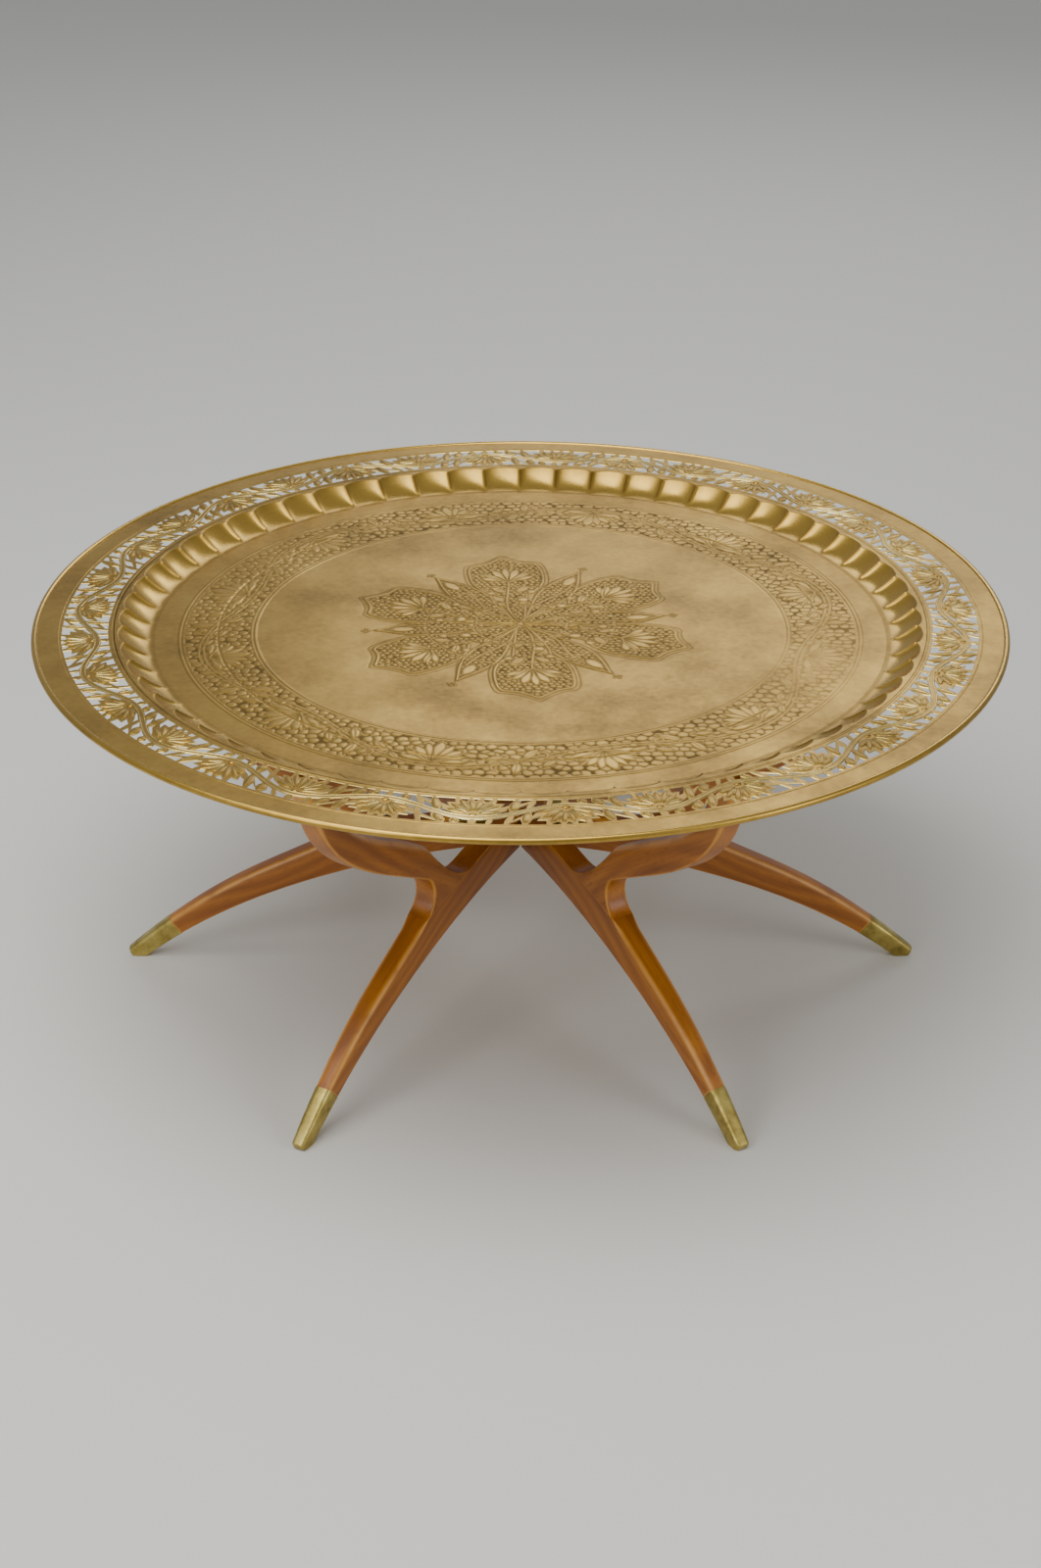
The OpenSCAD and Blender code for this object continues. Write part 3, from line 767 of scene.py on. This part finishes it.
def fan(work, base, turn, size, lobes=7, spread=64, lift=0.75):
    """A palmette: tear-shaped lobes that fan out from one point, with two curled leaves under them."""
    for i in range(lobes):
        bend = math.radians(-spread + 2 * spread * i / (lobes - 1))
        length = size * (1 - 0.22 * abs(math.sin(bend)))
        tear = TEAR if i % 2 else TEAR * (1, 1.25)
        work.dome(laid(tear, turn + bend, base, length), lift, 0.05 * size)
    for way in (-1, 1):
        curl = [(0, 0), (0.12, 0.22 * way), (0.34, 0.44 * way), (0.52, 0.58 * way), (0.6, 0.7 * way)]
        work.line(laid(curl, turn, base, size), lift * 0.9, 0.9)


def sprig(work, base, turn, size, way, lift=0.7):
    """A leaf with a vein and a berry beside it."""
    work.dome(laid(LEAF_SHAPE, turn, base, size), lift, 0.07 * size)
    work.groove(laid([(0.08, 0), (0.9, 0)], turn, base, size), 0.3, 0.6)
    work.dome(laid(ROUND * 0.2 + (0.45, 0.48 * way), turn, base, size), lift, 0.14 * size)


PETAL_TURNS = (97, 37, -19, -84, -145, 158)
LEAF_TURNS = (65, 8, -53, -115, 186, 127)


def chase_rosette(work):
    """Six broad ogee petals and six slim leaves that turn out of the middle like a pinwheel."""
    work.ground(ROUND * 66)
    for degrees in PETAL_TURNS:
        turn = math.radians(degrees)
        work.ground(laid(PETAL, turn))
    for degrees in LEAF_TURNS:
        turn = math.radians(degrees)
        leaf = laid(SLIM_LEAF, turn)
        work.ground(leaf)
        work.line(leaf, 0.6, 1.0, closed=True)
        work.groove(laid(SLIM_LEAF * (1, 1.22) + (3, 0), turn)[8:-8], 0.22, 0.7)
        rib = curve((8, 0), (118, 0), (0.4, 0), (0.6, 0), 12)
        rib[:, 1] += 7 * np.sin(np.linspace(0, math.pi * 1.6, 13))
        work.line(laid(rib, turn), 0.5, 0.9)
        work.dome(laid(LEAF_SHAPE * (1, 1.1), turn, polar(112, turn), 30), 0.65, 3)
        for along in (160, 166):
            work.dome(laid(ROUND * 1.9 + (along, 0), turn), 0.5, 1.5)
        for way in (-1, 1):
            work.dome(laid(ROUND * 1.7 + (163, 3.6 * way), turn), 0.45, 1.5)
    for number, degrees in enumerate(PETAL_TURNS):
        turn = math.radians(degrees)
        petal = laid(PETAL, turn)
        work.line(petal[6:-6], 0.7, 1.1)
        work.groove(laid((PETAL - (128, 0)) * 1.15 + (128, 0), turn)[9:-9], 0.25, 0.8)
        fan(work, polar(112, turn), turn, 40)
        stem = curve((4, 0), (112, 0), (0.35, 0), (0.65, 0), 16)
        stem[:, 1] = 13 * np.sin(np.linspace(0, math.pi, 17)) * np.linspace(1, 0.2, 17)
        work.line(laid(stem, turn), 0.75, 1.0)
        for way in (-1, 1):
            side = stem.copy()
            side[:, 1] = (way * (4 + 16 * np.sin(np.linspace(0, math.pi * 0.62, 17)))
                          + 4 * np.sin(np.linspace(0, 3.1, 17)))
            work.line(laid(side[:12], turn), 0.55, 0.85)
            sprig(work, laid([(84, 6 * way)], turn)[0], turn + way * 0.75, 24, way)
            sprig(work, laid([(44, 7 * way + 3)], turn)[0], turn + way * 0.45, 19, way)
        work.dome(laid(ROUND * 6.2 + (64, 12 if number % 2 else -10), turn), 0.9, 4.5)
        work.dome(laid(ROUND * 5.6 + (98, -17 if number % 2 else 16), turn), 0.85, 4.2)
        for along, across in ((166, 0), (158, 9), (158, -9)):
            work.dome(laid(ROUND * 3.4 + (along, across), turn), 0.6, 2.6)
    work.dome(ROUND * 4, 0.4, 3)
    work.pebbles(6.6, 0.75, 7, 2.4)


VINE_R, VINE_SWING, VINE_WAVES = 317.5, 20, 6


def chase_band(work):
    """A wavy double vine with a palmette in every bend, on a pebbled ground between ring lines."""
    radius = np.linalg.norm(work.points, axis=1)
    work.pebbled |= (radius > 283.5) & (radius < 352)
    turns = np.linspace(0, 2 * math.pi, 721)
    for r, lift in ((278.5, 0.5), (282.5, 0.45), (353.0, 0.45), (357.0, 0.5)):
        work.height = np.maximum(work.height, lift * np.exp(-((radius - r) / 0.9) ** 2))
        work.dirt_and_shade = np.maximum(work.dirt_and_shade, 0.6 * np.exp(-((radius - r - 1.9) / 0.8) ** 2))
        work.cover |= np.abs(radius - r) < 1.6
    for start in range(0, 720, 15):
        part = turns[start:start + 16]
        for offset in (-2.4, 2.4):
            line = [polar(VINE_R + VINE_SWING * math.sin(VINE_WAVES * t) + offset, t) for t in part]
            work.line(line, 0.6, 0.95)
    step = math.pi / VINE_WAVES
    for k in range(2 * VINE_WAVES):
        out = 1 if k % 2 == 0 else -1
        turn = (k + 0.5) * step
        facing = turn + (math.pi if out > 0 else 0)
        base = polar(VINE_R + out * (VINE_SWING - 7), turn)
        fan(work, base, facing, 43, lobes=9, spread=78, lift=0.8)
        for way in (-1, 1):
            for shift, across, size, lean in ((0.3, 12, 22, 0.9), (0.52, 4, 26, 0.35), (0.74, -9, 20, 1.3)):
                at = turn + way * shift * step
                foot = polar(VINE_R + out * (VINE_SWING * math.cos(shift * math.pi) - across * 0.9), at)
                sprig(work, foot, facing - way * out * lean, size, way)
            curl_at = turn + way * 0.62 * step
            centre = polar(VINE_R - out * 13, curl_at)
            spiral = [centre + polar(9.5 - 1.1 * i, way * i * 0.75 + curl_at) for i in range(8)]
            work.line(spiral, 0.6, 0.9)
    work.pebbles(11.0, 0.55, 9, 1.6)
    angle = np.degrees(np.arctan2(work.points[:, 1], work.points[:, 0]))
    rubbed = 1 - 0.6 * np.exp(-((angle + 20) / 20) ** 2) - 0.25 * np.exp(-((angle - 150) / 25) ** 2)
    work.height *= rubbed
    work.dirt_and_shade *= rubbed


def sag(x, y):
    """The slight unevenness of hand-worked sheet, in millimetres."""
    return (0.15 * np.sin(x / 31 + 1.3) * np.cos(y / 43 - 0.4) + 0.1 * np.sin((x + y) / 27 + 0.7)
            + 0.1 * np.cos((x - 1.7 * y) / 37) + 0.18 * np.sin(x / 90 + y / 110)) - 0.12


def circles(radii, around):
    """Points on circles, as rings of (x, y)."""
    turn = np.linspace(0, 2 * math.pi, around + 1)[:-1]
    radii = np.asarray(radii, float)[:, None]
    return np.stack([radii * np.cos(turn), radii * np.sin(turn)], axis=2)


def tray_piece(name, bm, material=TRAY_BRASS, sharp=70):
    """Finishes a piece of the tray."""
    return finish_piece(name, bm, material, "tray", ["tray"], sharp)


EDGE_FADE = 1.5


def flat_ring(name, inner, outer, steps, around, chase=None):
    """A ring of the tray's flat middle, chased on its upper face and plain below."""
    radii = np.linspace(inner, outer, steps + 1)
    plan = circles(radii, around)
    work = Chasing(plan.reshape(-1, 2))
    if chase:
        chase(work)
    r = np.repeat(radii, around)
    # the work fades out at the ring's edges, so that it meets the next ring
    from_inner = r - inner if inner else r + EDGE_FADE
    edge = np.clip(np.minimum(from_inner, outer - r) / EDGE_FADE, 0, 1)
    x, y = work.points.T
    top = FLAT_TOP + sag(x, y) + work.height * edge
    upper = np.concatenate([work.points, top[:, None]], axis=1).reshape(steps + 1, around, 3)
    rim = plan[[-1, 0]] if inner else plan[[-1]]
    lower = np.concatenate([rim, np.full(rim.shape[:2] + (1,), FLAT_TOP - SHEET)], axis=2)
    raised = np.clip(work.height / 0.8, 0, 1) * 0.45
    marks = {}
    for mark, values in (("depth", work.dirt_and_shade), ("polish_and_highlight", raised)):
        above = (values * edge).reshape(steps + 1, around)
        marks[mark] = np.concatenate([above, np.zeros(rim.shape[:2])])
    bm = skin(np.concatenate([upper, lower]), closed=bool(inner), marks=marks)
    tray_piece(name, bm, sharp=60)


def scalloped_slope():
    """The slope round the flat middle: sixty thumb-shaped hollows with a crisp scalloped upper edge."""
    around = FLUTES * 22

    def heights(radii):
        """Circles on the slope: their plan, their heights, how far up they are and how deep in a hollow."""
        plan = circles(radii, around)
        r = np.asarray(radii, float)[:, None] * np.ones(around)
        phase = (np.arange(around) * FLUTES / around) % 1
        lobe = np.sqrt(np.clip(1 - (2 * phase - 1) ** 2, 0, 1))
        edge = 412 + 7.6 * lobe
        t = np.clip((r - FLAT_R) / (edge - FLAT_R), 0, 1)
        flat = FLAT_TOP + sag(plan[:, :, 0], plan[:, :, 1])
        z = flat * (1 - t) + BORDER_TOP * t + RISE * (t ** 1.35 - t) - 2.3 * np.sin(math.pi * t) * lobe ** 0.8
        return plan, z, t, lobe

    radii = np.concatenate([np.linspace(SLOPE_IN, 410, 14), np.linspace(411, 421, 13), [SLOPE_OUT]])
    plan, z, t, lobe = heights(radii)
    upper = np.concatenate([plan, z[:, :, None]], axis=2)
    low_radii = np.array([SLOPE_OUT, 419, 413, 407, 400, 393, 387, SLOPE_IN])
    low_plan, low_z, _, _ = heights(low_radii)
    low_z = low_z - SHEET - 0.35 * np.sin(np.linspace(0, math.pi, len(low_radii)))[:, None]
    lower = np.concatenate([low_plan, low_z[:, :, None]], axis=2)
    lower[[0, -1], :, 2] = [[BORDER_TOP - SHEET], [FLAT_TOP - SHEET]]
    # the hollows' middles are painted brighter and glossier: partly polish, partly a painted highlight
    polish_and_highlight = 0.85 * np.sin(math.pi * t) * lobe
    none = np.zeros(lower.shape[:2])
    # darker in a thin band at the slope's foot, and painted shade on the ridges between the hollows
    dirt_and_shade = 0.35 * np.exp(-((t - 0.02) / 0.05) ** 2) + 0.5 * (1 - lobe) ** 3 * (t > 0.3) * (t < 1)
    marks = {"depth": np.concatenate([dirt_and_shade, none]), "polish_and_highlight": np.concatenate([polish_and_highlight, none])}
    bm = skin(np.concatenate([upper, lower]), closed=True, marks=marks)
    tray_piece("tray_scallops", bm, sharp=50)


# ------------------------------------------------------------------ the pierced border

BAND_MID = (BAND_IN + BAND_OUT) / 2
BAND_HALF = (BAND_OUT - BAND_IN) / 2
CELL = 2 * math.pi * BAND_MID / FLOWERS
VINE_HALF = 3.2
FLOWER_FOOT = -6.5
CELL_EDGE = 27.1


def band_point(flower, s, w):
    """A point of the border: s along the band from a flower's middle, w from mid-band the way it points."""
    way = 1 if flower % 2 == 0 else -1
    return polar(BAND_MID + way * w, (flower * CELL + s) / BAND_MID)


def vine_at(s):
    """How far the vine's middle is from mid-band."""
    return -0.5 * BAND_HALF * math.cos(math.pi * s / CELL)


def on_vine(s):
    """A point on the edge of the vine."""
    return (s, vine_at(s) + VINE_HALF)


FLOWER_SIDE = [(15.5, -7.4), (19, -3.6), (28.6, 2.6), (23.0, 7.2), (26.6, 15.0), (18.6, 15.0), (19.8, 24.2)]


def bridge_side(bridge, way, *places):
    """Points on one side of a leaf or stem that crosses from the vine to the band's edge."""
    low, high, middle = bridge
    floor = vine_at(low) + VINE_HALF
    points = []
    for t in places:
        half = 1.7 + (middle - 1.7) * math.sin(math.pi * t) ** 1.5
        points.append((low + (high - low) * t + way * half, floor + (23.6 - floor) * t))
    return points


LOBE_TIPS = ((-70, 29), (-50, 32.5), (-30, 34), (-10, 31), (10, 31), (30, 34), (50, 32.5), (70, 29))


def openings():
    """The border's cells, each an outline with its openings, and the leaves that cross them.
    A cell runs from the vine to the band's edge, between the two flowers beside its own."""
    rng = random.Random(5)
    cells, leaves = [], []
    for flower in range(FLOWERS):
        cell_outline = [band_point(flower, s, CELL_EDGE) for s in np.linspace(-CELL, CELL, 37)]
        cell_outline += [band_point(flower, s, vine_at(s)) for s in np.linspace(CELL, -CELL, 37)]
        cut = [cell_outline]
        cells.append(cut)
        cut.append([band_point(flower, s, w) for s, w in
                    ((0, 18.4), (2.4, 21.4), (3.6, 24.2), (-3.6, 24.2), (-2.4, 21.4))])
        for side in (-1, 1):
            def lay(points):
                """Adds an opening on this side of the flower."""
                cut.append([band_point(flower, side * s, w) for s, w in points])

            lay([(9.2, 17.2), (13.8, 20.0), (15.4, 24.2), (7.2, 24.2), (6.8, 21.0)])
            first = (33 + rng.uniform(-1.5, 1.5), 39 + rng.uniform(-2, 2), rng.choice((2.6, 5.0, 5.4)))
            second = (50 + rng.uniform(-2, 2), 57 + rng.uniform(-3, 2), rng.choice((3.0, 5.6, 6.0)))
            third = (67 + rng.uniform(-2, 2), 70 + rng.uniform(-2, 2), rng.choice((2.4, 4.4, 4.8)))
            last = (CELL - 0.2, CELL - 0.2, 3.4)
            lay(FLOWER_SIDE[:3] + bridge_side(first, -1, 0.36, 0.18, 0.0) + [on_vine(21.5)])
            lay(FLOWER_SIDE[3:] + bridge_side(first, -1, 1.0, 0.75, 0.5))
            tilt = rng.choice((0.3, 0.45))
            lay(bridge_side(first, 1, 0, 0.25, tilt) + bridge_side(second, -1, 0.6, 0.3, 0)
                + [on_vine((first[0] + second[0]) / 2)])
            lay(bridge_side(first, 1, tilt + 0.2, 0.84, 1) + bridge_side(second, -1, 1, 0.8))
            for near, beyond in ((second, third), (third, last)):
                lay(bridge_side(near, 1, 0, 0.3, 0.6, 1) + bridge_side(beyond, -1, 1, 0.6, 0.3, 0)
                    + [on_vine((near[0] + beyond[0]) / 2)])
            for bridge in (first, second, third):
                if bridge[2] > 3:
                    leaves.append((flower, side, bridge))
    return cells, leaves


def outline_drawing(outlines):
    """A flat drawing, filled between its outlines, whose edges are filed to a slope."""
    drawing = bpy.data.curves.new("drawing", "CURVE")
    drawing.dimensions = "2D"
    drawing.fill_mode = "BOTH"
    drawing.extrude = 0.1 * MM
    drawing.bevel_depth = (SHEET / 2 - 0.1) * MM
    drawing.bevel_resolution = 0
    for outline in outlines:
        spline = drawing.splines.new("POLY")
        spline.points.add(len(outline) - 1)
        for point, (x, y) in zip(spline.points, outline):
            point.co = (x * MM, y * MM, 0, 1)
        spline.use_cyclic_u = True
    return stand_up("drawing", drawing)


def pierced_sheet(cells):
    """A sheet made of cells that meet edge to edge, each filled round its own openings."""
    holders = [outline_drawing(outlines) for outlines in cells]
    graph = bpy.context.evaluated_depsgraph_get()
    sheet = bmesh.new()
    for holder in holders:
        mesh = bpy.data.meshes.new_from_object(holder.evaluated_get(graph))
        cell = bmesh.new()
        cell.from_mesh(mesh)
        bmesh.ops.remove_doubles(cell, verts=cell.verts[:], dist=1e-6)
        bmesh.ops.recalc_face_normals(cell, faces=cell.faces[:])
        cell.to_mesh(mesh)
        cell.free()
        sheet.from_mesh(mesh)
        bpy.data.meshes.remove(mesh)
    for holder in holders:
        bpy.data.objects.remove(holder)
    return sheet


def flat_annulus(name, inner, outer):
    """A plain flat ring of the border's sheet."""
    radii = [inner, outer, outer, inner]
    heights = [BORDER_TOP, BORDER_TOP, BORDER_TOP - SHEET, BORDER_TOP - SHEET]
    rings = np.concatenate([circles(radii, 720), np.repeat(heights, 720).reshape(4, 720, 1)], axis=2)
    tray_piece(name, skin(rings, closed=True), sharp=35)


CARRIER = bpy.data.meshes.new("carrier")


def boss(bm, p, q, width, height):
    """A small rounded ridge from p to q, half sunk in the sheet."""
    middle = (np.asarray(p) + q) / 2
    run = np.asarray(q) - p
    place = (Matrix.Translation(Vector((middle[0], middle[1], BORDER_TOP - 0.15)) * MM)
             @ Matrix.Rotation(math.atan2(run[1], run[0]), 4, "Z")
             @ Matrix.Diagonal((np.linalg.norm(run) / 2 * MM, width / 2 * MM, height * MM, 1)))
    ridge = bmesh.new()
    bmesh.ops.create_uvsphere(ridge, u_segments=8, v_segments=6, radius=1, matrix=place)
    ridge.to_mesh(CARRIER)
    ridge.free()
    bm.from_mesh(CARRIER)


def ring_ridge(radius_of, half_width, height, stations=720):
    """A low ridge along a closed line round the tray."""
    turns = np.linspace(0, 2 * math.pi, stations + 1)[:-1]
    bends = np.linspace(0, 2 * math.pi, 7)[:-1]
    profile = [(math.cos(a) * half_width, math.sin(a) * height) for a in bends]
    rings = []
    for turn in turns:
        centre = polar(radius_of(turn), turn)
        ahead = polar(radius_of(turn + 0.002), turn + 0.002) - centre
        ahead /= np.linalg.norm(ahead)
        across = np.array([-ahead[1], ahead[0]])
        rings.append([(*(centre + across * a), BORDER_TOP - 0.1 + b) for a, b in profile])
    return skin(rings, closed=True)


def petal_ends(flower, degrees, near, out):
    """Two points on a line that leaves a flower's foot at an angle."""
    turn = math.radians(degrees)
    return [band_point(flower, r * math.sin(turn), FLOWER_FOOT + r * math.cos(turn)) for r in (near, out)]


def make_border():
    """The flat border: pierced cells, the plain rings beside them, raised work and the rolled edge."""
    cells, leaves = openings()
    bm = pierced_sheet(cells)
    bmesh.ops.translate(bm, vec=(0, 0, (BORDER_TOP - SHEET / 2) * MM), verts=bm.verts[:])
    flat_annulus("tray_border_lip", BORDER_IN, BAND_MID - CELL_EDGE)
    flat_annulus("tray_plain_rim", BAND_MID + CELL_EDGE, BORDER_OUT)
    for face in bm.faces:
        face.material_index = 1 if -0.9 < face.normal.z < 0.95 else 0
    border = tray_piece("tray_border", bm, sharp=20)
    border.data.materials.append(CUT_BRASS)

    bodies, veins = bmesh.new(), bmesh.new()
    for flower in range(FLOWERS):
        for degrees, reach in LOBE_TIPS:
            boss(bodies, *petal_ends(flower, degrees, 6, reach - 2), 6.4, 1.0)
            boss(veins, *petal_ends(flower, degrees + 10, 5, reach - 7), 1.5, 1.35)
        boss(bodies, band_point(flower, -4, -7.5), band_point(flower, 4, -7.5), 6, 1.6)
    for flower, side, (low, high, middle) in leaves:
        run = high - low
        near = band_point(flower, side * (low + 0.12 * run), vine_at(low) + VINE_HALF + 0.5)
        out = band_point(flower, side * (low + 0.95 * run), 22.5)
        boss(bodies, near, out, middle * 1.7, 0.9)
        boss(veins, near, out, 1.1, 1.15)
    tray_piece("tray_border_leaves", bodies)
    tray_piece("tray_border_veins", veins, CUT_BRASS)

    def vine_radius(turn):
        """How far the vine is from the tray's middle."""
        return BAND_MID - 0.5 * BAND_HALF * math.cos(FLOWERS / 2 * turn)

    for number, offset in enumerate((-2.3, 2.3)):
        bm = ring_ridge(lambda turn: vine_radius(turn) + offset, 0.8, 0.7, stations=20 * FLOWERS)
        tray_piece(f"tray_vine_{number}", bm, CUT_BRASS)
    for number, (radius, half) in enumerate(((426.0, 0.7), (480.2, 0.8))):
        bm = ring_ridge(lambda turn: radius, half, 0.45)
        tray_piece(f"tray_line_{number}", bm)

    turn = np.linspace(0, 2 * math.pi, 25)[:-1]
    plan = circles(TRAY_R - ROLL_R + ROLL_R * np.cos(turn), 720)
    heights = BORDER_TOP - 1.6 + ROLL_R * np.sin(turn)
    rings = np.concatenate([plan, np.repeat(heights, 720).reshape(24, 720, 1)], axis=2)
    # painted highlight: the upper side of the rolled edge is tinted brighter and glossier
    painted_top_highlight = np.repeat(np.clip(np.sin(turn - 0.3), 0, 1) * 0.8, 720).reshape(24, 720)
    bm = skin(rings, closed=True, marks={"depth": painted_top_highlight * 0, "polish_and_highlight": painted_top_highlight})
    tray_piece("tray_rolled_edge", bm)


flat_ring("tray_rosette_hub", 0, 50, 42, 260, chase_rosette)
flat_ring("tray_rosette_inner", 50, 100, 42, 520, chase_rosette)
flat_ring("tray_rosette_outer", 100, 190, 70, 980, chase_rosette)
flat_ring("tray_plain_ring", 190, 276, 8, 360)
flat_ring("tray_band_inner", 276, 318, 32, 1500, chase_band)
flat_ring("tray_band_outer", 318, 360, 32, 1640, chase_band)
flat_ring("tray_outer_ring", 360, SLOPE_IN, 3, 480)
scalloped_slope()
make_border()

# ------------------------------------------------------------------ floor, light and camera


def make_floor():
    """A plain pale floor."""
    bm = bmesh.new()
    bmesh.ops.create_grid(bm, x_segments=1, y_segments=1, size=14)
    mesh = mesh_from("floor", bm)
    material, _, shader = surface("pale_floor_cloth")
    shader.inputs["Base Color"].default_value = linear("#D3D2CC")
    shader.inputs["Roughness"].default_value = 0.85
    mesh.materials.append(material)
    floor = stand_up("floor", mesh)


def make_light(name, place, aim, width, height, power):
    """A soft panel of light that faces a point."""
    light = bpy.data.lights.new(name, "AREA")
    light.shape = "RECTANGLE"
    light.size = width
    light.size_y = height
    light.energy = power
    obj = stand_up(name, light)
    obj.location = place
    obj.rotation_euler = (Vector(aim) - Vector(place)).to_track_quat("-Z", "Y").to_euler()


def make_room():
    """Even studio light: a pale surround, a large panel above, and three smaller ones."""
    world = bpy.data.worlds.new("studio")
    world.use_nodes = True
    world.node_tree.nodes["Background"].inputs["Color"].default_value = linear("#E6E8EA")
    world.node_tree.nodes["Background"].inputs["Strength"].default_value = 0.5
    bpy.context.scene.world = world
    make_light("soft_top", (-0.6, -0.6, 2.9), (0, 0, 0.3), 2.6, 2.2, 78)
    make_light("front_left", (-2.2, -2.4, 2.0), (0, 0, 0.25), 1.8, 1.8, 40)
    make_light("front_right", (2.4, -1.6, 1.5), (0, 0, 0.25), 1.4, 1.4, 22)
    make_light("back_panel", (0.8, 3.6, 2.6), (0, 0, 0.3), 2.6, 0.9, 26)


def make_camera():
    """A camera that looks slightly down at the table's front."""
    camera = bpy.data.cameras.new("camera")
    camera.lens = 59
    camera.sensor_width = 36
    obj = stand_up("camera", camera)
    target = Vector((0, 0, 0.215))
    elevation, distance = math.radians(27.6), 2.8
    obj.location = target + distance * Vector((0, -math.cos(elevation), math.sin(elevation)))
    obj.rotation_euler = (target - obj.location).to_track_quat("-Z", "Y").to_euler()
    bpy.context.scene.camera = obj


make_floor()
make_room()
make_camera()
